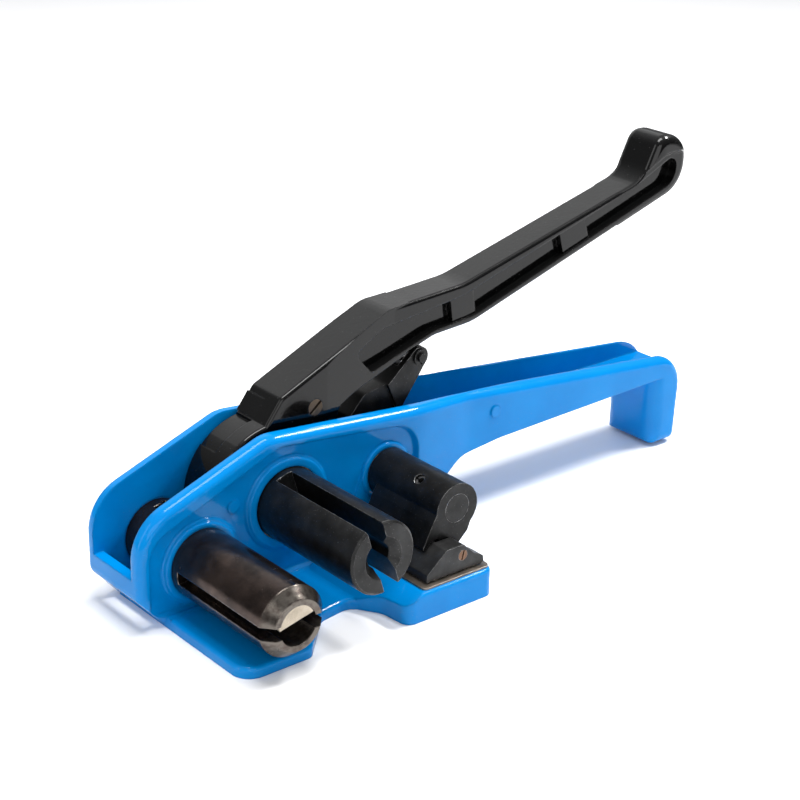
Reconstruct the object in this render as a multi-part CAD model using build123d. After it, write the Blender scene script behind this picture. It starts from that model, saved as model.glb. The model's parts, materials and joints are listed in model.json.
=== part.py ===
"""Windlass strapping tensioner: cast frame, ratchet windlass, cutter sleeve and strap gripper.

Millimetres. +X runs from the cutter to the handle end, -Y is the open side the shafts reach out of,
+Z is up. The origin lies on the resting plane, below the windlass axis and midway between the plates.
"""
from build123d import *
import math
import os

os.makedirs("parts", exist_ok=True)

# ---- axes, as (x, z) in the side view ----
WINDLASS = (0, 31)
SLEEVE = (-35.5, 19.5)
GRIPPER = (43, 31)
ROLLER = (65.2, 66.2)
DRIVE_PIVOT = (17, 59.5)
HOLD_PIVOT = (26, 14)
FOOT_PIVOT = (39.6, 17.2)

# ---- frame ----
PLATE_OUT = 17.0          # outer face of each side plate's rim
PLATE_IN = 12.0           # inner face of each side plate
FIELD_FACE = 15.0         # panel inside the raised rim
FIELD_DRAFT = 30          # lean of the rim's inner wall, in degrees
BOSS_FACE = 16.5          # face of the shaft bosses
PAD_FACE = 15.8           # lower step of the bosses
BOSS_EDGE = 0.7
FLOOR = 3.5               # top of the base between the plates
BASE_THICK = 4.0
BLOCK_TOP = 10.3
BASE_EDGE = 1.4
COVE = 4.0                # hollow fillet between the near plate and the base
WALL_REAR_OUT = 13.5
WALL_REAR_IN = 9.5
TAPER_START = 58          # the casting narrows from here to TAPER_END
TAPER_END = 84
FRONT_END = 40            # the front slab meets the rear block here
CAST_EDGE = 3.2
CAST_TOP = 80             # above every part of the casting
REAR_PAST = 215           # behind every part of the casting
END_ZONE = 195            # edges behind this belong to the casting's rear end
PAST = 20                 # beyond both plates' outer faces
FREE_GAP = 0.4            # radial gap where a shaft passes without touching

# ---- shafts ----
RUN = 0.05                # radial clearance of a running fit
WINDLASS_R = 13.0
WINDLASS_END = -68.0
HUB_R = 10.0              # windlass shaft inside the ratchet wheel and the handle
FAR_R = 8.0               # windlass shaft in the far plate
BUSH_R = 15.0
BUSH_END = -15.0
HANDLE_BUSH_R = 12.0
FAR_BUSH_R = 10.0
SLOT_WIDE = 6.4
SLOT_START = -19.0
SLOT_LEAN = 17.0
SLEEVE_R = 12.4
SLEEVE_BORE = 7.0
SLEEVE_END = -70.0
SHAFT_R = 7.0             # gripper shaft in the plates
SPIGOT_R = 5.2            # gripper shaft inside the arm
SHAFT_BUSH_R = 8.7
BARREL_R = 9.0
ARM_END = -54.5
ARM_START = -16.9
SLEEVE_FAR = 16.0

# ---- ratchet ----
TEETH = 24
PITCH = 360 / TEETH
TIP_R = 20.5
ROOT_R = 18.3
WHEEL_HALF = 4.2
DRIVE_FACE = 15.0         # angle of the tooth face the drive pawl pushes
HOLD_FACE = -75.0         # angle of the tooth face the holding pawl blocks

# ---- handle ----
CHEEK_HALF = 9.0
CHEEK_R = 24.0
HOOD_R = 26.8
CAVITY_R = 23.2
CAVITY_HALF = 4.7
GRIP_HALF = 7.2
GRIP_EDGE = 1.4
KNOB_HALF = 9.4

# ---- gripper lever ----
LEVER_HALF = 7.0
LEVER_THIN = 5.6          # half thickness of the lever's arm
HUB_HALF = 11.4
FORK_HALF = 4.5
EAR_R = 3.8
ROLLER_R = 4.0
ROLLER_PIN_R = 1.7


def outline(*corners):
    """Closed outline from (x, z, corner radius) triples."""
    face = make_face(Polyline(*[(x, z) for x, z, radius in corners], close=True))
    for x, z, radius in corners:
        if radius:
            corner = face.vertices().sort_by_distance((x, z, 0))[0]
            face = fillet(corner, radius)
    return face


def slab(sketch, y_near, y_far):
    """A side-view sketch given thickness between two Y positions."""
    return extrude(Plane.XZ.offset(-y_far) * sketch, y_far - y_near)


def disc(axis, radius):
    """A circle about an axis of the side view."""
    return Pos(*axis) * Circle(radius)


def rod(axis, radius, y_near, y_far):
    """A cylinder along Y."""
    return slab(disc(axis, radius), y_near, y_far)


def tube(axis, outer, inner, y_near, y_far):
    """A ring along Y."""
    return slab(disc(axis, outer) - disc(axis, inner), y_near, y_far)


def polar(axis, radius, angle):
    """Side-view point at a radius and an angle (degrees) from an axis."""
    turn = math.radians(angle)
    return axis[0] + radius * math.cos(turn), axis[1] + radius * math.sin(turn)


def sector(axis, inner, outer, start, end):
    """Ring sector between two angles, counter-clockwise."""
    middle = (start + end) / 2
    return make_face([
        Line(polar(axis, inner, start), polar(axis, outer, start)),
        ThreePointArc(polar(axis, outer, start), polar(axis, outer, middle), polar(axis, outer, end)),
        Line(polar(axis, outer, end), polar(axis, inner, end)),
        ThreePointArc(polar(axis, inner, end), polar(axis, inner, middle), polar(axis, inner, start)),
    ])


def prism(points, z_low, z_high):
    """A top-view outline given height between two Z positions."""
    return extrude(Plane.XY.offset(z_low) * outline(*points), z_high - z_low)


def mirrored(points, bend=0):
    """Top-view corners of a strip symmetric about y = 0; inner corners are rounded to the bend radius."""
    bends = [0] + [bend] * (len(points) - 2) + [0]
    lower = [(x, -half, radius) for (x, half), radius in zip(points, bends)]
    upper = [(x, half, radius) for (x, half), radius in zip(points, bends)]
    return lower + upper[::-1]


def save(name, shape):
    """Write one node."""
    export_step(shape, f"parts/{name}.step")


# ---------------------------------------------------------------- frame

FRAME_SIDE = [(-60.5, 12, 4), (-60.5, 38, 18), (-8.3, 57.4, 14), (92, 48.5, 150), (200, 37.4, 14),
              (198, 1.2, 3), (183.5, 1.2, 3), (183.5, 30, 0), (100, 27.6, 60), (79.5, 25.4, 14), (60.5, 12.3, 8),
              (60.5, 0, 0), (-50, 0, 4)]
FRAME_HOLLOW = [(-75, 18.8, 0), (-56, 18.8, 1), (-56, FLOOR, 2), (54, FLOOR, 4), (57.5, 14, 4),
                (77.5, 32.6, 8), (210, 32.6, 0), (210, 75, 0), (-75, 75, 0)]
FIELD = [(-56.6, BASE_THICK, 0), (-56.6, 31.8, 11), (-4.0, 53.2, 10), (57.2, 46.4, 12), (57.2, BASE_THICK, 0)]
BASE_FAR = PLATE_IN + 1
BASE_PLAN = [(-50.5, BASE_FAR, 0), (-50.5, -61.5, 7), (-24, -61.5, 4), (-8, -45, 6), (5.5, -43, 6),
             (12, -53, 8), (13, -65.4, 4), (51.5, -65.4, 4), (51.5, -34, 6), (60.5, -22, 6), (60.5, BASE_FAR, 0)]
BLOCK_SIDE = [(7, BASE_THICK, 0), (20, BLOCK_TOP, 0), (60.5, BLOCK_TOP, 0), (60.5, 0, 0), (7, 0, 0)]
LEG_PLAN = [(183.5, -WALL_REAR_OUT, 6), (223.5, -WALL_REAR_OUT, 0), (223.5, WALL_REAR_OUT, 0),
            (183.5, WALL_REAR_OUT, 6)]
LEG_TOP = 30
SMALL_DISCS = [((-22, 35.5), FIELD_FACE), ((97, 39), WALL_REAR_OUT)]
SMALL_DISC_R = 2.4
SMALL_DISC_HIGH = 0.6
BOSSES = [(WINDLASS, 17.5, PAD_FACE), (WINDLASS, 16.6, BOSS_FACE), (SLEEVE, 15.6, PAD_FACE),
          (SLEEVE, 14.4, BOSS_FACE), (GRIPPER, 10.8, BOSS_FACE)]      # axis, radius, face
GRIP_PLATE = [(21, -17, 0), (21, -64, 2), (50.5, -64, 2), (50.5, -17, 0)]
GRIP_LOW = 9.4
GRIP_TOP = 11.0
GRIP_SCREWS = [(29, -38), (42.5, -38)]
GRIP_SCREW_R = 2.0
GRIP_HEAD_R = 3.8
PAD_SIDE = [(33.2, 35.5, 0), (23, 3, 0), (57, 3, 0), (53, 35.5, 0)]
LOCK_Y = 14.5             # sleeve lock screw, inside the far plate
LOCK_R = 1.5
PAWL_PIN_R = 3.0
PAWL_PIN_END = -14.3


def soft_slab(sketch, half, radius):
    """A slab either side of y = 0 with its outer edges rounded."""
    body = slab(sketch, -half, half)
    return fillet(body.edges().filter_by(lambda edge: abs(edge.center().Y) > half - 0.01), radius)


def span(x_start, x_end):
    """Side-view region between two X positions."""
    return Pos((x_start + x_end) / 2, 30) * Rectangle(x_end - x_start, 120)


def is_rim(edge):
    """A top or end edge of the rear block: not the arch, the leg's front or an upright seam of the plan."""
    middle = edge.center()
    upright = abs((edge % 0.5).Z) > 0.9
    at_end = middle.X > END_ZONE
    return abs(middle.Y) > WALL_REAR_OUT - 1 and (at_end or (middle.Z > LEG_TOP + 2 and not upright))


def frame_rear(side):
    """Rear of the casting: narrows in plan, its top and end edges rounded, its leg round at the front."""
    half = [(FRONT_END, PLATE_OUT), (TAPER_START, PLATE_OUT), (TAPER_END, WALL_REAR_OUT),
            (REAR_PAST, WALL_REAR_OUT)]
    profile = slab(side & span(FRONT_END, REAR_PAST), -PLATE_OUT - 1, PLATE_OUT + 1)
    block = prism(mirrored(half, 40), -1, CAST_TOP) & profile
    block = fillet(block.edges().filter_by(is_rim), CAST_EDGE)
    leg_zone = prism([(x, y * 2, 0) for x, y, radius in LEG_PLAN], 0, LEG_TOP)
    return (block - leg_zone) + (block & prism(LEG_PLAN, 0, LEG_TOP))


def frame_body():
    """Plates, front web, rear channel and leg as one block, then hollowed."""
    side = outline(*FRAME_SIDE)
    front = soft_slab(side & span(-70, FRONT_END + 15), PLATE_OUT, CAST_EDGE)
    front &= Pos(FRONT_END - 100, 0, 0) * Box(200, 200, 200)
    half = [(-80, PLATE_IN), (TAPER_START, PLATE_IN), (112, WALL_REAR_IN), (REAR_PAST, WALL_REAR_IN)]
    hollow = slab(outline(*FRAME_HOLLOW), -PLATE_OUT, PLATE_OUT) & prism(mirrored(half, 60), -5, CAST_TOP)
    return front + frame_rear(side) + frame_base() - hollow


def soft_prism(points, height):
    """A top-view block with a rounded top edge outside the near plate."""
    block = extrude(outline(*points), height)
    top = block.faces().sort_by(Axis.Z)[-1]
    rim = top.edges().filter_by(lambda edge: edge.center().Y < -PLATE_OUT)
    return fillet(rim, BASE_EDGE)


def frame_base():
    """Base with the front foot, the raised block under the grip plate and the cove along the plate."""
    block = soft_prism(BASE_PLAN, BLOCK_TOP) & slab(outline(*BLOCK_SIDE), -70, BASE_FAR)
    x_start, x_end = BASE_PLAN[0][0], FRONT_END
    corner = Pos((x_start + x_end) / 2, -FIELD_FACE, BASE_THICK) * Box(x_end - x_start, COVE * 2, COVE * 2)
    hollow = Pos(0, -FIELD_FACE - COVE, BASE_THICK + COVE) * Rot(0, 90, 0) * Cylinder(COVE, 200)
    return soft_prism(BASE_PLAN, BASE_THICK) + block + (corner - hollow)


def both_sides(near):
    """A near-side solid and its mirror image on the far side."""
    return [near, mirror(near, about=Plane.XZ)]


def boss(axis, radius, face):
    """Round boss on the near plate with a soft rim."""
    body = rod(axis, radius, -face, -PLATE_IN)
    return fillet(body.edges().group_by(Axis.Y)[0], BOSS_EDGE)


def side_bosses():
    """Raised pads round the three shafts, on both plates."""
    pads = [boss(axis, radius, face) for axis, radius, face in BOSSES]
    pads.append(slab(outline(*PAD_SIDE), -PAD_FACE, -PLATE_IN))
    above_ground = Pos(0, 0, CAST_TOP / 2) * Box(300, 100, CAST_TOP)
    return [solid & above_ground for pad in pads for solid in both_sides(pad)]


def field_cuts():
    """Panels sunk in both plates, their walls leaning outwards."""
    panel = extrude(Plane.XZ.offset(PLATE_OUT) * outline(*FIELD), FIELD_FACE - PLATE_OUT, taper=FIELD_DRAFT)
    return both_sides(panel)


def frame_bores():
    """Everything bored, drilled or milled in the casting."""
    cuts = [
        rod(SLEEVE, SLEEVE_R, -PAST, PAST),
        rod(WINDLASS, WINDLASS_R + FREE_GAP, -PAST, 0),
        rod(WINDLASS, BUSH_R, BUSH_END, 0),
        rod(WINDLASS, FAR_BUSH_R, 0, PAST),
        rod(GRIPPER, SHAFT_BUSH_R, -PAST, PAST),
        rod(HOLD_PIVOT, PAWL_PIN_R, PAWL_PIN_END, PAST),
        prism(GRIP_PLATE, GRIP_LOW, PAST),
        Pos(SLEEVE[0], LOCK_Y, 4) * Cylinder(LOCK_R, 9),
    ]
    for x, y in GRIP_SCREWS:
        cuts.append(Pos(x, y, 5) * Cylinder(GRIP_SCREW_R, 12))
        cuts.append(Pos(x, y, 1) * Cylinder(GRIP_HEAD_R + 0.2, 4))
    return cuts


def frame_casting():
    """The one blue casting."""
    body = frame_body()
    for panel in field_cuts():
        body -= panel
    for solid in side_bosses():
        body += solid
    for axis, face in SMALL_DISCS:
        body += rod(axis, SMALL_DISC_R, -face - SMALL_DISC_HIGH, -face + 1)
    for cut in frame_bores():
        body -= cut
    return body


def grip_plate():
    """Hardened plate the strap is gripped against, tapped for its two screws."""
    plate = prism(GRIP_PLATE, GRIP_LOW, GRIP_TOP)
    for x, y in GRIP_SCREWS:
        plate -= Pos(x, y, 10) * Cylinder(GRIP_SCREW_R, 5)
    return plate


def grip_plate_screws():
    """Two socket screws up through the block into the grip plate."""
    screws = []
    for x, y in GRIP_SCREWS:
        shank = Pos(x, y, 6.75) * Cylinder(GRIP_SCREW_R, 7.7)
        head = Pos(x, y, 1.75) * Cylinder(GRIP_HEAD_R, 2.5)
        socket = Pos(x, y, 1.2) * extrude(RegularPolygon(1.5, 6), -2)
        screws.append(shank + head - socket)
    return Compound(screws)


# ---------------------------------------------------------------- cutter

WINDOW_Y = (0.5, 8.0)
KEY_Y = 4.0
KEY_ANGLE = 45.0
KEY_R = 1.6
KEY_REACH = 10.9
HOOD_GAP = 9.4            # half width of the gap the hood swings through
SCALLOP_R = 27.3
FLAT_REACH = 9.8
FLAT_ANGLE = 52.8
HALF_MOON = 1.6           # height of the rod's flat above its axis
HALF_MOON_TILT = 13.0


def tilted(axis, angle, sketch):
    """A sketch drawn about the origin, turned and moved onto an axis."""
    return Pos(*axis) * Rot(0, 0, angle) * sketch


def cutter_sleeve():
    """Bored sleeve slotted for the strap; relieved between the plates for the hood and the cutter key."""
    sleeve = rod(SLEEVE, SLEEVE_R, SLEEVE_END, SLEEVE_FAR)
    rim = sleeve.edges().group_by(Axis.Y)[0]
    sleeve = chamfer(rim, 4.0, 3.4)
    sleeve -= rod(SLEEVE, SLEEVE_BORE, SLEEVE_END - 1, 20)
    sleeve -= slab(tilted(SLEEVE, 0, Pos(0, -0.6) * Rectangle(40, 4.6)), SLEEVE_END - 1, -20)
    sleeve -= rod(WINDLASS, SCALLOP_R, -HOOD_GAP, HOOD_GAP)
    relief = tilted(SLEEVE, FLAT_ANGLE, Pos(FLAT_REACH + 5, 0) * Rectangle(10, 14))
    sleeve -= slab(relief, -HOOD_GAP, HOOD_GAP)
    sleeve -= slab(sector(SLEEVE, 3, 16, -8, 105), *WINDOW_Y)
    return sleeve - Pos(SLEEVE[0], LOCK_Y, 7.2) * Cylinder(1.0, 1.4)


def sleeve_lock_screw():
    """Grub screw up through the far plate into a dimple in the sleeve."""
    x = SLEEVE[0]
    screw = Pos(x, LOCK_Y, 4.2) * Cylinder(LOCK_R, 5.4) + Pos(x, LOCK_Y, 7.3) * Cylinder(1.0, 1.0)
    return screw - Pos(x, LOCK_Y, 1.8) * Box(0.6, 4, 1.0)


def cutter_rod():
    """Round in the plates and cut to a half moon along the slot, where its edge shears the strap."""
    radius = SLEEVE_BORE - RUN
    bar = rod(SLEEVE, radius, SLEEVE_END + 0.4, 23)
    below = tilted(SLEEVE, HALF_MOON_TILT, Pos(0, HALF_MOON - 10) * Rectangle(20, 20))
    bar -= slab(below, SLEEVE_END - 1, -19)
    bar -= tube(SLEEVE, 10, 5.9, 20.6, 21.7)
    stud = Pos(SLEEVE[0], KEY_Y, SLEEVE[1]) * Rot(0, 90 - KEY_ANGLE, 0) * Pos(0, 0, 3) * Cylinder(KEY_R, 8)
    return bar - stud


def cutter_key():
    """Stud on the rod that the handle's striker pushes to cut the strap."""
    stud = Cylinder(KEY_R, KEY_REACH + 1, align=(Align.CENTER, Align.CENTER, Align.MIN))
    return Pos(SLEEVE[0], KEY_Y, SLEEVE[1]) * Rot(0, 90 - KEY_ANGLE, 0) * Pos(0, 0, -1) * stud


def coil(axis, mean_r, wire_r, y_near, turns, pitch):
    """A torsion coil along Y."""
    path = Helix(pitch, pitch * turns, mean_r)
    start = path @ 0
    section = Plane(start, z_dir=path % 0) * Circle(wire_r)
    spring = sweep(section, path=path, is_frenet=True)
    return Pos(axis[0], y_near, axis[1]) * Rot(-90, 0, 0) * spring


def retaining_ring(axis, inner, outer, y_near, y_far):
    """Open ring sprung into a shaft groove."""
    gap = tilted(axis, -90, Pos(outer, 0) * Rectangle(outer * 2, inner * 0.7))
    return slab(disc(axis, outer) - disc(axis, inner) - gap, y_near, y_far)


# ---------------------------------------------------------------- windlass

KEY_WIDE = 4.0
KEY_DEEP = 2.0
KEY_ANGLES = (90, 270)


def windlass_keys():
    """Two parallel keys between the shaft and the ratchet wheel."""
    keys = []
    for angle in KEY_ANGLES:
        key = tilted(WINDLASS, angle, Pos(HUB_R, 0) * Rectangle(KEY_DEEP * 2, KEY_WIDE))
        keys.append(slab(key, -WHEEL_HALF, WHEEL_HALF))
    return keys


def windlass_shaft():
    """Shaft slotted across its open end for the strap, stepped down through the handle and far plate."""
    shaft = rod(WINDLASS, WINDLASS_R, WINDLASS_END, -9.6)
    shaft = chamfer(shaft.edges().group_by(Axis.Y)[0], 0.8)
    shaft += rod(WINDLASS, HUB_R, -9.7, PLATE_IN - 0.4)
    shaft += rod(WINDLASS, FAR_R, PLATE_IN - 0.5, 20.5)
    slot = tilted(WINDLASS, SLOT_LEAN, Rectangle(SLOT_WIDE, 40))
    shaft -= slab(slot, WINDLASS_END - 1, SLOT_START)
    shaft -= rod(WINDLASS, 4.5, WINDLASS_END - 1, -24)
    centre = Pos(WINDLASS[0], WINDLASS_END + 1.5, WINDLASS[1]) * Rot(90, 0, 0) * Cone(4.5, 7.5, 3.0)
    shaft -= centre
    shaft -= tube(WINDLASS, 10, 7.0, 17.9, 19.1)
    for key in windlass_keys():
        shaft -= key
    return shaft


def ratchet_face():
    """Toothed outline: steep faces look counter-clockwise, backs slope down to the next root."""
    points = []
    for tooth in range(TEETH):
        face_angle = DRIVE_FACE + tooth * PITCH
        points.append(polar(WINDLASS, TIP_R, face_angle - 1.5))
        points.append(polar(WINDLASS, TIP_R, face_angle))
        points.append(polar(WINDLASS, ROOT_R, face_angle))
    return make_face(Polyline(*points, close=True))


def ratchet_wheel():
    """Wheel keyed to the shaft between the handle's cheeks."""
    wheel = slab(ratchet_face() - disc(WINDLASS, HUB_R), -WHEEL_HALF, WHEEL_HALF)
    for key in windlass_keys():
        wheel -= key
    return wheel


def pawl_nose(face_angle):
    """Side-view points of a pawl tip lying in the tooth gap next to a steep face."""
    clear = face_angle + 0.9
    return [polar(WINDLASS, ROOT_R + 0.5, clear), polar(WINDLASS, TIP_R + 3.2, clear),
            polar(WINDLASS, TIP_R + 0.6, clear + 11.5)]


def pawl(pivot, face_angle, bore, hub, back, front):
    """A pawl from its pivot hub to its nose."""
    tip, heel, crest = pawl_nose(face_angle)
    body = make_face(Polyline(tip, heel, back, pivot, front, crest, close=True)) + disc(pivot, hub)
    return slab(body - disc(pivot, bore), -WHEEL_HALF, WHEEL_HALF)


def drive_pawl():
    """Pawl on the handle that pushes the wheel; pocketed for its spring."""
    x, z = DRIVE_PIVOT
    body = pawl(DRIVE_PIVOT, DRIVE_FACE, 3.0 + RUN, 4.8, (x + 4.8, z), (x - 4.0, z - 1.5))
    return body - Pos(22.5, 0, 46) * Rot(0, 90, 0) * Cylinder(2.6, 4)


def holding_pawl():
    """Pawl on the frame that stops the wheel running back."""
    x, z = HOLD_PIVOT
    return pawl(HOLD_PIVOT, HOLD_FACE, 3.0 + RUN, 5.0, (x, z - 5.0), (x, z + 5.0))


# ---------------------------------------------------------------- handle

HANDLE_SIDE = [(-4.5, 56.6, 1.0), (2.8, 66.2, 3), (49.5, 87.3, 12), (86, 89.6, 30), (174.5, 113.2, 12),
               (182.5, 129, 6), (197.5, 129.3, 11), (198.3, 108, 13), (90, 73.9, 30), (72, 72.8, 15),
               (48, 65.2, 8), (34.3, 60.4, 3), (28.2, 57, 2), (26, 52, 2), (28, 46.5, 2), (28, 40, 2),
               (15, 36, 0), (-15, 45, 0)]
PAWL_SPACE = [(2, 45, 0), (9, 66, 3), (23.5, 66, 3), (25.4, 52, 0), (25.4, 36, 0)]
POCKET = [(34.8, 74.3, 2.5), (47, 80.7, 9), (85, 85.3, 28), (172, 111.4, 20), (193.6, 121.2, 3.5),
          (193.6, 109.5, 8), (91, 76.4, 32), (71.5, 74.6, 15), (47.5, 67.1, 6), (42.5, 65.8, 2)]
PADS = [((86, 81), 8), ((140.7, 97.4), 16)]     # centre and lean of each pad
PAD_WIDTHS = (11, 13.5)
FLARE_BELOW = [(140, 103), (166, 110.8), (187, 120.5), (215, 121), (215, 60), (140, 60)]
KNOB_EDGE = 3.6
WEB_HALF = 3.4
PAD_TOP = 6.0
STRIKER = [(-3.5, 58.0), (1.2, 64.1), (4.2, 61.8), (-0.5, 55.7)]
NOTCH_R = 25.6
STRIKER_Y = (-1.0, 9.0)
STRIKER_PIN = (0.35, 59.9)
STRIKER_PIN_R = 1.2
NOTCH_ANGLES = (98.5, 136)


def handle_blank():
    """Hub, grip and knob: each rounded as a slab, narrowed in plan, then joined."""
    side = outline(*HANDLE_SIDE)
    hub = soft_slab(side & Pos(10, 60) * Rectangle(100, 100), CHEEK_HALF, GRIP_EDGE)
    hub &= prism(mirrored([(-40, CHEEK_HALF), (22, CHEEK_HALF), (60, GRIP_HALF - 0.4)]), 0, 140)
    drum = slab(sector(WINDLASS, 15, HOOD_R, 92, 181) + disc(WINDLASS, CHEEK_R), -CHEEK_HALF, CHEEK_HALF)
    rim = drum.edges().filter_by(GeomType.CIRCLE).filter_by(lambda edge: edge.radius > CHEEK_R + 1)
    hub += fillet(rim, GRIP_EDGE)
    grip = soft_slab(side & Pos(120, 90) * Rectangle(200, 200), GRIP_HALF, GRIP_EDGE)
    knob = soft_slab(side & Pos(180, 120) * Rectangle(40, 100), KNOB_HALF, KNOB_EDGE)
    knob &= prism(mirrored([(163, GRIP_HALF - 0.4), (184, KNOB_HALF), (200, KNOB_HALF)], 20), 0, 140)
    below = make_face(Polyline(*FLARE_BELOW, close=True))
    for cut in both_sides(extrude(Plane.XZ.offset(GRIP_HALF - 0.2) * below, 5, taper=-40)):
        knob -= cut
    return hub + grip + knob


def handle_pockets():
    """Recesses down both sides of the grip, with two pads left standing."""
    rim = outline(*POCKET)
    deep = rim
    for (centre, lean), width in zip(PADS, PAD_WIDTHS):
        deep -= tilted(centre, lean, Rectangle(width, 40))
    recess = slab(deep, -12, -WEB_HALF) + slab(rim, -12, -PAD_TOP)
    return both_sides(recess)


def handle_casting():
    """The black casting: cheeks, hood over the wheel, grip and knob."""
    handle = handle_blank()
    for cut in handle_pockets():
        handle -= cut
    handle -= rod(WINDLASS, CAVITY_R, -CAVITY_HALF, CAVITY_HALF)
    handle -= slab(outline(*PAWL_SPACE), -CAVITY_HALF, CAVITY_HALF)
    open_below = outline((-40, 30.5, 0), (-40, 0, 0), (40, 0, 0), (40, 39.5, 0), (10, 39.5, 0), (0, 30.5, 0))
    handle -= slab(open_below, -CAVITY_HALF, CAVITY_HALF)
    handle -= rod(WINDLASS, HANDLE_BUSH_R, -12, 12)
    handle -= rod(DRIVE_PIVOT, 3.0, -12, 12)
    handle -= slab(sector(WINDLASS, NOTCH_R, 32, *NOTCH_ANGLES), *STRIKER_Y)
    handle -= slab(make_face(Polyline(*STRIKER, close=True)), STRIKER_Y[0], 12)
    handle -= Pos(26.1, 0, 46) * Rot(0, 90, 0) * Cylinder(2.6, 1.6)
    return handle - striker_pin()


def striker_pin():
    """Dowel along Y that holds the striker in its notch."""
    return rod(STRIKER_PIN, STRIKER_PIN_R, -5.0, 8.5)


def cutter_striker():
    """Hard steel insert in the hood that pushes the cutter key."""
    return slab(make_face(Polyline(*STRIKER, close=True)), *STRIKER_Y) - striker_pin()


# ---------------------------------------------------------------- gripper

ARM_UPPER = [(34.1, 31, 0), (32.2, 27.9, 6), (28.0, 19.5, 0.5), (28.9, 19.0, 0.3), (31.3, 21.4, 1.5),
             (34.5, 22.0, 0), (47.9, 22.0, 0), (50.7, 27.1, 4), (51.9, 31, 0)]
ARM_NECK = [(34.8, 24, 0), (35.7, 17.2, 0), (43.5, 17.2, 0), (48, 21.4, 2), (49, 24, 0)]
LOBE_R = 3.9
LOBE_FAR = -28.4
ARM_WEB_FAR = -22.0
ARM_PIN = (-40.5, 125.0)
FOOT_SIDE = [(23.8, 11.9, 0), (23.8, 14.2, 0.6), (32.3, 21.2, 1), (39.9, 21.2, 1.5), (44.3, 16.8, 0),
             (48.8, 14.4, 1), (49.2, 11.9, 0)]
FOOT_NEAR = -62.0
FOOT_FAR = -21.0
FOOT_TOOTH = 1.8
FOOT_LOW = 11.3
FOOT_SCREW_R = 1.9
LEVER_SIDE = [(32, 36, 0), (34.5, 50, 2), (41, 57, 4), (50.8, 58.7, 3), (62.7, 69.0, 0), (68.2, 63.9, 0),
              (55.5, 46.5, 4), (53.9, 34, 0)]
EAR_SIDE = [(56, 46, 0), (54.4, 50.7, 2), (50.8, 58.7, 2), (49, 62, 0), (66, 76, 0), (78, 60, 0)]
LEVER_PIN_ANGLE = 128.0
CLIP_BORE = 1.25


def radial_pin(axis, y, angle, radius, start, end):
    """Cylinder across an axis at an angle, from one radius to another."""
    pin = Cylinder(radius, end - start, align=(Align.CENTER, Align.CENTER, Align.MIN))
    return Pos(axis[0], y, axis[1]) * Rot(0, 90 - angle, 0) * Pos(0, 0, start) * pin


def arm_pin_hole():
    """Cross hole through the arm's barrel and the shaft."""
    return radial_pin(GRIPPER, ARM_PIN[0], ARM_PIN[1], 2.0, -7.5, 12)


def lever_pin_hole():
    """Cross hole through the lever's hub and the shaft."""
    return radial_pin(GRIPPER, 0, LEVER_PIN_ANGLE, 2.5, -11.9, 9.5)


def gripper_shaft():
    """Shaft through both plates, reduced inside the arm."""
    shaft = rod(GRIPPER, SHAFT_R, -17.3, 24) + rod(GRIPPER, SPIGOT_R, ARM_END, -17)
    shaft -= tube(GRIPPER, 9, 6.0, 21.6, 22.7)
    return shaft - arm_pin_hole() - lever_pin_hole()


def gripper_arm():
    """Barrel pinned to the shaft, with the nose and the lobe that carries the foot."""
    arm = rod(GRIPPER, BARREL_R, ARM_END, ARM_START)
    arm += slab(outline(*ARM_UPPER), ARM_END, ARM_WEB_FAR)
    arm += slab(outline(*ARM_NECK) + disc(FOOT_PIVOT, LOBE_R), ARM_END, LOBE_FAR)
    arm -= rod(GRIPPER, SPIGOT_R, ARM_END - 1, -17)
    arm -= rod(GRIPPER, SHAFT_R, -17.3, -10)
    arm -= rod(FOOT_PIVOT, FOOT_SCREW_R + RUN, ARM_END - 1, LOBE_FAR + 1)
    return arm - arm_pin_hole()


def spring_pin(hole, bore, axis, y, angle, start, end, slit):
    """Rolled pin: a slit tube filling its hole."""
    pin = radial_pin(axis, y, angle, hole, start, end) - radial_pin(axis, y, angle, bore, start - 1, end + 1)
    cutter = Box(slit, hole * 2, end - start + 4, align=(Align.CENTER, Align.MIN, Align.MIN))
    return pin - Pos(axis[0], y, axis[1]) * Rot(0, 90 - angle, 0) * Pos(0, 0, start - 1) * cutter


def arm_spring_pin():
    """Pin seen in the arm's barrel."""
    return spring_pin(2.0, 1.2, GRIPPER, ARM_PIN[0], ARM_PIN[1], -7.4, 8.0, 0.5)


def lever_spring_pin():
    """Pin locking the lever to the shaft."""
    return spring_pin(2.5, 1.5, GRIPPER, 0, LEVER_PIN_ANGLE, -11.5, 9.3, 0.6)


def gripper_lever():
    """Bell crank between the plates, forked round the roller."""
    side = outline(*LEVER_SIDE) + disc(ROLLER, EAR_R)
    lever = slab(side, -LEVER_THIN, LEVER_THIN)
    lever += slab(side & outline(*EAR_SIDE), -LEVER_HALF, LEVER_HALF)
    lever += rod(GRIPPER, 11.5, -HUB_HALF, HUB_HALF)
    lever -= slab(disc(ROLLER, ROLLER_R + 2.2) + tilted(ROLLER, 35, Pos(6, 8) * Rectangle(28, 16)),
                  -FORK_HALF, FORK_HALF)
    lever -= rod(GRIPPER, SHAFT_R, -HUB_HALF - 1, HUB_HALF + 1)
    lever -= rod(ROLLER, ROLLER_PIN_R, -10, 10)
    return lever - lever_pin_hole()


def roller_pin():
    """Pin through the fork, grooved at both ends."""
    pin = rod(ROLLER, ROLLER_PIN_R, -9.0, 9.0)
    for side in (-1, 1):
        pin -= tube(ROLLER, 3, CLIP_BORE, min(side * 7.1, side * 7.9), max(side * 7.1, side * 7.9))
    return pin


def roller_clips():
    """Two E-clips in the pin's grooves."""
    clips = []
    for side in (-1, 1):
        near, far = sorted((side * 7.15, side * 7.85))
        clips.append(retaining_ring(ROLLER, CLIP_BORE, 3.0, near, far))
    return Compound(clips)


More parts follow.
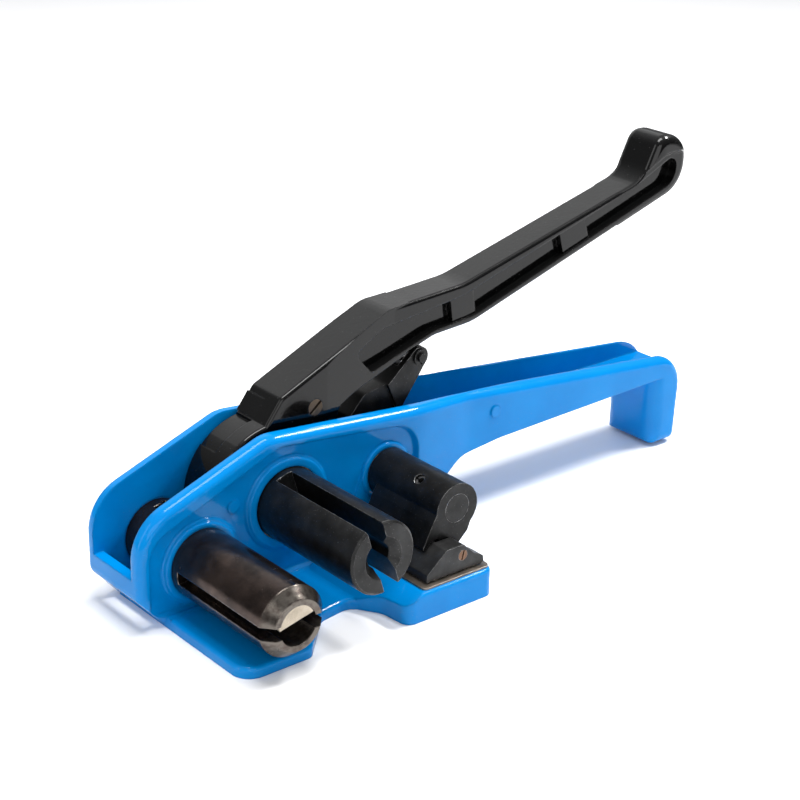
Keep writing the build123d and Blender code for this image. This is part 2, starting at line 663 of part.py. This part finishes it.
def lever_roller():
    """Roller the handle presses on."""
    return tube(ROLLER, ROLLER_R, ROLLER_PIN_R + RUN, -FORK_HALF + 0.3, FORK_HALF - 0.3)


def foot_teeth():
    """Sawtooth strip under the foot."""
    points = [(23.8, 12.0)]
    start = 23.8
    while start + FOOT_TOOTH < 49.2:
        points.append((start, FOOT_LOW))
        points.append((start + FOOT_TOOTH, 12.0))
        start += FOOT_TOOTH
    return make_face(Polyline(*points, close=True))


def gripper_foot():
    """Toothed foot hung from the arm's lobe on its screw."""
    foot = slab(outline(*FOOT_SIDE) + foot_teeth(), FOOT_NEAR, FOOT_FAR)
    foot -= slab(Pos(46.6, 23) * Rectangle(26.8, 20.2), ARM_END - 0.4, LOBE_FAR + 0.4)
    return foot - rod(FOOT_PIVOT, FOOT_SCREW_R, FOOT_NEAR - 1, FOOT_FAR - 2)


def slotted(axis, radius, y_near, y_far, slot, angle):
    """Headless screw along Y with a driver slot in its near end."""
    driver = slab(tilted(axis, angle, Rectangle(radius * 3, slot)), y_near - 1, y_near + 1.2)
    return rod(axis, radius, y_near, y_far) - driver


# ---------------------------------------------------------------- springs

def holding_pawl_spring():
    """Torsion spring round the holding pawl's pin, one leg under the pawl and one on the base."""
    return coil(HOLD_PIVOT, 3.9, 0.45, 5.2, 3.5, 1.1)


def drive_pawl_spring():
    """Compression spring between the handle's bridge and the drive pawl."""
    path = Helix(1.5, 5.3, 1.9)
    section = Plane(path @ 0, z_dir=path % 0) * Circle(0.35)
    spring = sweep(section, path=path, is_frenet=True)
    return Pos(21.2, 0, 46) * Rot(0, 90, 0) * spring


# ---------------------------------------------------------------- write the nodes

save("frame_casting", frame_casting())
save("grip_plate", grip_plate())
save("grip_plate_screws", grip_plate_screws())
save("cutter_sleeve", cutter_sleeve())
save("sleeve_lock_screw", sleeve_lock_screw())
save("windlass_bush_near", tube(WINDLASS, BUSH_R, WINDLASS_R + RUN, BUSH_END, -PLATE_IN))
save("windlass_bush_far", tube(WINDLASS, FAR_BUSH_R, FAR_R + RUN, PLATE_IN, BOSS_FACE))
save("gripper_bushes", Compound([
    tube(GRIPPER, SHAFT_BUSH_R, SHAFT_R + RUN, -BOSS_FACE, -PLATE_IN),
    tube(GRIPPER, SHAFT_BUSH_R, SHAFT_R + RUN, PLATE_IN, BOSS_FACE),
]))
save("holding_pawl_pin", slotted(HOLD_PIVOT, PAWL_PIN_R, PAWL_PIN_END, PAD_FACE, 0.8, 30))
save("holding_pawl_spring", holding_pawl_spring())
save("gripper_return_spring", coil(GRIPPER, 8.0, 0.6, 17.3, 2.6, 1.35))
save("cutter_return_spring", coil(SLEEVE, 8.0, 0.6, 17.2, 2.0, 1.35))

save("cutter_rod", cutter_rod())
save("cutter_key", cutter_key())
save("cutter_retaining_ring", retaining_ring(SLEEVE, 5.9, 8.6, 20.7, 21.6))

save("windlass_shaft", windlass_shaft())
save("ratchet_wheel", ratchet_wheel())
save("wheel_keys", Compound(windlass_keys()))
save("windlass_washer", tube(WINDLASS, 11.0, FAR_R, 16.8, 17.8))
save("windlass_retaining_ring", retaining_ring(WINDLASS, 7.0, 10.2, 18.0, 19.0))

save("handle_casting", handle_casting())
save("handle_bushes", Compound([
    tube(WINDLASS, HANDLE_BUSH_R, HUB_R + RUN, -CHEEK_HALF, -CAVITY_HALF),
    tube(WINDLASS, HANDLE_BUSH_R, HUB_R + RUN, CAVITY_HALF, CHEEK_HALF),
]))
save("pawl_pivot_screw", slotted(DRIVE_PIVOT, 3.0, -CHEEK_HALF, CHEEK_HALF, 0.9, 40))
save("cutter_striker", cutter_striker())
save("striker_pin", striker_pin())
save("drive_pawl_spring", drive_pawl_spring())
save("drive_pawl", drive_pawl())
save("holding_pawl", holding_pawl())

save("gripper_shaft", gripper_shaft())
save("gripper_arm", gripper_arm())
save("arm_spring_pin", arm_spring_pin())
save("gripper_lever", gripper_lever())
save("lever_spring_pin", lever_spring_pin())
save("roller_pin", roller_pin())
save("roller_clips", roller_clips())
save("gripper_retaining_ring", retaining_ring(GRIPPER, 6.0, 8.8, 21.7, 22.6))
save("lever_roller", lever_roller())
save("gripper_foot", gripper_foot())
save("foot_screw", slotted(FOOT_PIVOT, FOOT_SCREW_R, FOOT_NEAR, FOOT_FAR - 2, 0.6, 75))
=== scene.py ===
"""Looks, light and camera for the strapping tensioner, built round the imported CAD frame. Metres."""
import json
import math

import bpy
from mathutils import Matrix, Vector

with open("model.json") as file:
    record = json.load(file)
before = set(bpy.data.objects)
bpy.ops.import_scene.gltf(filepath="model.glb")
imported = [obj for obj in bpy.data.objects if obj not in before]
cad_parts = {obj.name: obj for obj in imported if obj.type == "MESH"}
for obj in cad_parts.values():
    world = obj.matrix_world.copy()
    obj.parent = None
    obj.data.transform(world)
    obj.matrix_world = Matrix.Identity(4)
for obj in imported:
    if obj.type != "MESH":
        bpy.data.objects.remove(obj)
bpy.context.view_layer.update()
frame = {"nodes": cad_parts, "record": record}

MM = 0.001

# ---- patterns, as features in a metre ----
PAINT_TONE = 55
PAINT_DUST = 520
PAINT_SMEAR = 130
PAINT_WAVES = 28
PAINT_PEEL = 620
FINE_GRAIN = 2600         # satin grain of the paint's top faces, and tool marks in steel
STEEL_BLOTCHES = 110
STEEL_PITS = 900
STEEL_SMEAR = 260
STEEL_SKIN = 1500
WEAR_BREAKS = 420
BARE_SCUFFS = 520
FLOOR_TONE = 6

# ---- depths of the bumps, in metres ----
WAVE_DEPTH = 0.0004
MARK_DEPTH = 0.000012
SKIN_DEPTH = 0.000006

# ---- paint and steel ----
GLOSS = (0.1, 0.18)       # lowest and highest roughness of the paint
SATIN = 6000              # roughness added on top faces for each metre of grain depth
DUST_STRENGTH = 0.15
WEAR_EDGE = (0.05, 0.3)   # how far the rounded normal turns where wear starts and where it is full
WEAR_POLISH = 0.12        # roughness taken off where the edges are worn
METALLIC = 0.9

# ---- stretch of the tool marks along each axis ----
TURNED = (0.05, 1.0, 0.05)
GROUND_X = (0.04, 1.0, 1.0)
CAST = (0.5, 0.5, 0.5)

# ---- where the sleeve is bare ----
SLEEVE_AXIS = (-35.5 * MM, 19.5 * MM)
SLEEVE_CHAMFER = (-65.4 * MM, -66.6 * MM)
SLEEVE_BORE = (7.4 * MM, 7.1 * MM)
BARE = (0.13, 0.115, 0.1, 1)

# ---- viewing angle ----
AZIMUTH = math.radians(-39.71)
ELEVATION = math.radians(22.72)
ROLL = math.radians(1.01)
TARGET = Vector((62.1, 0.0, 47.88)) * MM
DISTANCE = 678.57 * MM
LENS = 83.97
SENSOR = 36.0
NEAREST = 0.01

# ---- light ----
SKY_COLOUR = (0.97, 0.985, 1.0, 1)
SKY_LEVEL = (0.15, 0.5)   # at the horizon and high up
SKY_HIGH = 0.75
FLOOR_SIZE = 12
FLOOR_LEVEL = (0.9, 0.94)
LIGHTS = [                # name, place, point it faces, width and height, watts
    ("overhead", (0.05, -0.05, 0.95), (0.05, 0.0, 0.03), (0.5, 0.35), 8.0),
    ("back", (0.35, 0.9, 0.55), (0.05, 0.0, 0.05), (1.2, 0.7), 2.0),
    ("side", (-0.9, 0.1, 0.45), (0.0, 0.0, 0.04), (0.35, 0.9), 2.6),
    ("fill", (-0.45, -1.0, 0.5), (0.0, 0.0, 0.03), (0.9, 0.6), 4.0),
    ("key", (0.75, -0.14, 0.85), (0.06, 0.0, 0.05), (0.35, 0.16), 12.0),
]


# ---------------------------------------------------------------- node helpers

def add(tree, kind, inputs=None, **settings):
    """One shader node, with its settings, and its inputs given as values or as sockets to link."""
    node = tree.nodes.new("ShaderNode" + kind)
    for name, value in settings.items():
        setattr(node, name, value)
    for name, value in (inputs or {}).items():
        if isinstance(value, bpy.types.NodeSocket):
            tree.links.new(value, node.inputs[name])
        else:
            node.inputs[name].default_value = value
    return node


def maths(tree, operation, first, second=0.0):
    """A Math node's result."""
    return add(tree, "Math", {0: first, 1: second}, operation=operation).outputs[0]


def spread(tree, value, low, high, out_low=0.0, out_high=1.0):
    """Value mapped from low..high to out_low..out_high, clamped."""
    inputs = {"Value": value, "From Min": low, "From Max": high, "To Min": out_low, "To Max": out_high}
    return add(tree, "MapRange", inputs).outputs["Result"]


def mix(tree, factor, first, second):
    """Colour mix."""
    node = add(tree, "Mix", data_type="RGBA")
    for socket, value in ((node.inputs["Factor"], factor), (node.inputs[6], first), (node.inputs[7], second)):
        if isinstance(value, bpy.types.NodeSocket):
            tree.links.new(value, socket)
        else:
            socket.default_value = value
    return node.outputs[2]


def grey(level):
    """A neutral colour."""
    return (level, level, level, 1.0)


def place(tree, stretch=(1.0, 1.0, 1.0)):
    """Object coordinates in metres, with each axis scaled."""
    point = add(tree, "TexCoord").outputs["Object"]
    return add(tree, "VectorMath", {0: point, 1: stretch}, operation="MULTIPLY").outputs[0]


def noise(tree, where, per_metre, detail=2.0, roughness=0.5):
    """Noise value with features of 1 / per_metre metres."""
    inputs = {"Vector": where, "Scale": per_metre, "Detail": detail, "Roughness": roughness}
    return add(tree, "TexNoise", inputs).outputs["Fac"]


def flecks(tree, where, per_metre, size):
    """Small round dots, 1 inside a dot."""
    inputs = {"Vector": where, "Scale": per_metre}
    distance = add(tree, "TexVoronoi", inputs).outputs["Distance"]
    return spread(tree, distance, size, size * 0.5)


def rounded(tree, radius):
    """The surface normal with its edges rounded off."""
    return add(tree, "Bevel", {"Radius": radius}, samples=6).outputs["Normal"]


def edge_wear(tree, soft, where):
    """1 along edges, broken up by noise."""
    true = add(tree, "NewGeometry").outputs["Normal"]
    along = add(tree, "VectorMath", {0: soft, 1: true}, operation="DOT_PRODUCT").outputs["Value"]
    edge = spread(tree, maths(tree, "SUBTRACT", 1.0, along), *WEAR_EDGE)
    rough = spread(tree, noise(tree, where, WEAR_BREAKS, 4), 0.36, 0.62)
    return maths(tree, "MULTIPLY", edge, rough)


def bump(tree, height, depth, normal):
    """Bump of a real depth in metres on top of a normal."""
    inputs = {"Height": height, "Distance": depth, "Strength": 1.0, "Normal": normal}
    return add(tree, "Bump", inputs).outputs["Normal"]


def principled(name):
    """A new material, its tree and its shader."""
    material = bpy.data.materials.new(name)
    material.use_nodes = True
    tree = material.node_tree
    return material, tree, tree.nodes["Principled BSDF"]


def wire(tree, shader, **sockets):
    """Links or sets the shader's sockets; an underscore stands for a space."""
    for name, value in sockets.items():
        socket = shader.inputs[name.replace("_", " ")]
        if isinstance(value, bpy.types.NodeSocket):
            tree.links.new(value, socket)
        else:
            socket.default_value = value


# ---------------------------------------------------------------- materials

def enamel(name, low, high, top_shading_colour, peel, edge_radius, top_grain):
    """Gloss paint on a casting: orange peel, faint unevenness, fine dust, a finer satin on top faces, and
    painted light and shade on top faces through a colour of their own.
    """
    material, tree, shader = principled(name)
    where = place(tree)
    soft = rounded(tree, edge_radius)
    tone = spread(tree, noise(tree, where, PAINT_TONE, 3), 0.3, 0.7)
    dust = maths(tree, "MULTIPLY", flecks(tree, where, PAINT_DUST, 0.1), DUST_STRENGTH)
    up = add(tree, "SeparateXYZ", {0: add(tree, "NewGeometry").outputs["Normal"]}).outputs["Z"]
    # top-face mask: carries the painted light and shade of the top faces as well as their real satin
    # roughness and grain
    top = spread(tree, up, 0.55, 0.9)
    colour = mix(tree, tone, low, high)
    # painted light and shade: faces turned up take a colour of their own
    colour = mix(tree, top, colour, top_shading_colour)
    colour = mix(tree, dust, colour, grey(0.25))
    smear = spread(tree, noise(tree, where, PAINT_SMEAR, 3), 0.3, 0.7, *GLOSS)
    rough = maths(tree, "ADD", smear, maths(tree, "MULTIPLY", top, top_grain * SATIN))
    grain = maths(tree, "MULTIPLY", noise(tree, where, FINE_GRAIN, 2), top)
    skin = bump(tree, noise(tree, where, PAINT_WAVES, 2), WAVE_DEPTH, soft)
    skin = bump(tree, noise(tree, where, PAINT_PEEL, 2), peel, skin)
    skin = bump(tree, grain, top_grain, skin)
    wire(tree, shader, Base_Color=colour, Roughness=rough, Normal=skin)
    return material, tree, shader


def blue_enamel():
    """The frame's glossy blue."""
    # the top colour is painted light and shade on the top faces
    material, tree, shader = enamel(
        "blue_enamel", low=(0.0, 0.175, 0.5, 1), high=(0.0, 0.21, 0.57, 1), top_shading_colour=(0.0, 0.185, 0.51, 1),
        peel=0.00003, edge_radius=0.0013, top_grain=0.000004)
    wire(tree, shader, Specular_IOR_Level=0.04, Coat_Weight=0.28, Coat_Roughness=0.05)
    return material


def black_enamel():
    """The handle's gloss black with a finer, satin top, and its top faces painted lighter as painted light.
    """
    # the lighter top colour is painted light on the top faces
    material, tree, shader = enamel(
        "black_enamel", low=grey(0.0005), high=grey(0.001), top_shading_colour=grey(0.006),
        peel=0.00004, edge_radius=0.0009, top_grain=0.00003)
    wire(tree, shader, Specular_IOR_Level=0.08, Coat_Weight=0.42, Coat_Roughness=0.05)
    return material


def steel(name, dark, light, worn, rough, stretch, edge_radius=0.0004, pits=0.15):
    """Machined steel: tool marks along one way, blotches, worn edges and fine pits."""
    material, tree, shader = principled(name)
    where = place(tree)
    soft = rounded(tree, edge_radius)
    marks = noise(tree, place(tree, stretch), FINE_GRAIN, 3, 0.6)
    blotch = spread(tree, noise(tree, where, STEEL_BLOTCHES, 5, 0.6), 0.32, 0.68)
    wear = edge_wear(tree, soft, where)
    dots = maths(tree, "MULTIPLY", flecks(tree, where, STEEL_PITS, 0.16), pits)
    colour = mix(tree, blotch, dark, light)
    colour = mix(tree, dots, colour, worn)
    colour = mix(tree, wear, colour, worn)
    finish = spread(tree, noise(tree, where, STEEL_SMEAR, 4), 0.3, 0.7, *rough)
    finish = maths(tree, "SUBTRACT", finish, maths(tree, "MULTIPLY", wear, WEAR_POLISH))
    skin = bump(tree, marks, MARK_DEPTH, soft)
    skin = bump(tree, noise(tree, where, STEEL_SKIN, 3), SKIN_DEPTH, skin)
    wire(tree, shader, Base_Color=colour, Roughness=finish, Normal=skin, Metallic=METALLIC)
    return material, tree, shader


def bare_metal(tree, shader, mask):
    """Scuffed bare metal shows where the mask is 1."""
    scuffs = spread(tree, noise(tree, place(tree), BARE_SCUFFS, 4), 0.34, 0.56, 0.25, 1.0)
    under = shader.inputs["Base Color"].links[0].from_socket
    wire(tree, shader, Base_Color=mix(tree, maths(tree, "MULTIPLY", mask, scuffs), under, BARE))


def burnished_steel():
    """The sleeve: dark burnished skin, bare on the end chamfer and inside the bore."""
    material, tree, shader = steel(
        "burnished_steel", dark=(0.022, 0.016, 0.014, 1), light=(0.075, 0.053, 0.045, 1),
        worn=(0.42, 0.39, 0.36, 1), rough=(0.16, 0.28), stretch=TURNED, edge_radius=0.0006)
    way = add(tree, "SeparateXYZ", {0: place(tree)})
    across = maths(tree, "SUBTRACT", way.outputs["X"], SLEEVE_AXIS[0])
    above = maths(tree, "SUBTRACT", way.outputs["Z"], SLEEVE_AXIS[1])
    squares = [maths(tree, "MULTIPLY", side, side) for side in (across, above)]
    from_axis = maths(tree, "SQRT", maths(tree, "ADD", *squares))
    bore = spread(tree, from_axis, *SLEEVE_BORE)
    chamfer = spread(tree, way.outputs["Y"], *SLEEVE_CHAMFER)
    bare_metal(tree, shader, maths(tree, "MAXIMUM", bore, chamfer))
    return material


STEELS = {    # dark, light, worn edge, roughness, tool marks, edge radius, pits
    "black_oxide_turned": (grey(0.016), grey(0.036), grey(0.42), (0.3, 0.46), TURNED),
    "black_oxide_milled": (grey(0.012), grey(0.028), grey(0.36), (0.34, 0.5), CAST),
    "nickel_steel": ((0.3, 0.26, 0.2, 1), (0.48, 0.42, 0.34, 1), (0.62, 0.58, 0.5, 1), (0.2, 0.34), TURNED,
                     0.0004, 0.05),
    "bright_steel": (grey(0.3), grey(0.45), grey(0.65), (0.28, 0.42), GROUND_X, 0.0004, 0.1),
    "ground_steel": ((0.13, 0.11, 0.09, 1), (0.26, 0.22, 0.18, 1), (0.45, 0.41, 0.36, 1), (0.34, 0.48),
                     GROUND_X),
    "dark_steel": (grey(0.05), grey(0.1), grey(0.36), (0.3, 0.45), CAST),
    "foot_steel": (grey(0.03), grey(0.06), grey(0.3), (0.4, 0.55), CAST),
    "brown_steel": ((0.04, 0.03, 0.022, 1), (0.1, 0.075, 0.055, 1), (0.34, 0.3, 0.24, 1), (0.28, 0.4), TURNED,
                    0.0002),
    "coppered_steel": ((0.1, 0.055, 0.035, 1), (0.22, 0.125, 0.08, 1), (0.5, 0.34, 0.25, 1), (0.28, 0.4),
                       TURNED, 0.0002),
    "black_screw": (grey(0.012), grey(0.028), grey(0.2), (0.3, 0.45), TURNED, 0.0002),
    "spring_steel": (grey(0.1), grey(0.2), grey(0.5), (0.28, 0.42), CAST, 0.0001),
    "bronze": ((0.3, 0.19, 0.08, 1), (0.46, 0.3, 0.14, 1), (0.66, 0.5, 0.3, 1), (0.3, 0.45), CAST, 0.0002),
}
SLOT_FINISH = {"black_oxide": "black_oxide_milled"}      # every other slot has the name of its finish
NODE_FINISH = {"windlass_shaft": "black_oxide_turned", "gripper_shaft": "black_oxide_turned",
               "grip_plate": "ground_steel", "cutter_striker": "black_enamel"}


def finish_pieces():
    """Gives every CAD piece its own finish, or that of its slot in the record."""
    finishes = {"blue_enamel": blue_enamel(), "black_enamel": black_enamel(),
                "burnished_steel": burnished_steel()}
    for name, look in STEELS.items():
        finishes[name] = steel(name, *look)[0]
    for part in frame["record"]["subparts"]:
        slot = part["material_slot"]
        finish = NODE_FINISH.get(part["node"], SLOT_FINISH.get(slot, slot))
        piece = frame["nodes"][part["node"]]
        piece.data.materials.clear()
        piece.data.materials.append(finishes[finish])


# ---------------------------------------------------------------- floor, light and camera

def floor():
    """Plain pale surface under everything."""
    bpy.ops.mesh.primitive_plane_add(size=FLOOR_SIZE)
    plane = bpy.context.object
    plane.name = "floor"
    material, tree, shader = principled("floor")
    tone = spread(tree, noise(tree, place(tree), FLOOR_TONE, 2), 0.3, 0.7, *FLOOR_LEVEL)
    colour = add(tree, "CombineColor", {0: tone, 1: tone, 2: maths(tree, "MULTIPLY", tone, 1.01)})
    wire(tree, shader, Base_Color=colour.outputs[0], Roughness=0.6, Specular_IOR_Level=0.1)
    plane.data.materials.append(material)


def area_light(name, place_at, aim, size, power):
    """A soft rectangular light facing a point."""
    light = bpy.data.lights.new(name, "AREA")
    light.shape = "RECTANGLE"
    light.size, light.size_y = size
    light.energy = power
    holder = bpy.data.objects.new(name, light)
    bpy.context.scene.collection.objects.link(holder)
    holder.location = place_at
    holder.rotation_euler = (Vector(aim) - Vector(place_at)).to_track_quat("-Z", "Y").to_euler()


def sky():
    """Pale surroundings, darker towards the horizon."""
    world = bpy.data.worlds.new("studio")
    bpy.context.scene.world = world
    world.use_nodes = True
    tree = world.node_tree
    way = add(tree, "SeparateXYZ", {0: add(tree, "TexCoord").outputs["Generated"]})
    level = spread(tree, way.outputs["Z"], 0.0, SKY_HIGH, *SKY_LEVEL)
    tree.links.new(level, tree.nodes["Background"].inputs["Strength"])
    tree.nodes["Background"].inputs["Color"].default_value = SKY_COLOUR


def camera():
    """The viewing angle: from the cutter end, on the open side, looking down."""
    level = Vector((math.cos(AZIMUTH), math.sin(AZIMUTH), 0.0))
    back = Vector((math.sin(AZIMUTH) * math.cos(ELEVATION), -math.cos(AZIMUTH) * math.cos(ELEVATION),
                   math.sin(ELEVATION)))
    above = back.cross(level)
    right = level * math.cos(ROLL) + above * math.sin(ROLL)
    up = above * math.cos(ROLL) - level * math.sin(ROLL)
    view = bpy.data.cameras.new("camera")
    view.lens = LENS
    view.sensor_width = SENSOR
    view.clip_start = NEAREST
    holder = bpy.data.objects.new("camera", view)
    bpy.context.scene.collection.objects.link(holder)
    turn = Matrix((right, up, back)).transposed().to_4x4()
    holder.matrix_world = Matrix.Translation(TARGET + back * DISTANCE) @ turn
    bpy.context.scene.camera = holder


finish_pieces()
floor()
sky()
for light in LIGHTS:
    area_light(*light)
camera()
bpy.context.scene.view_settings.view_transform = "Standard"
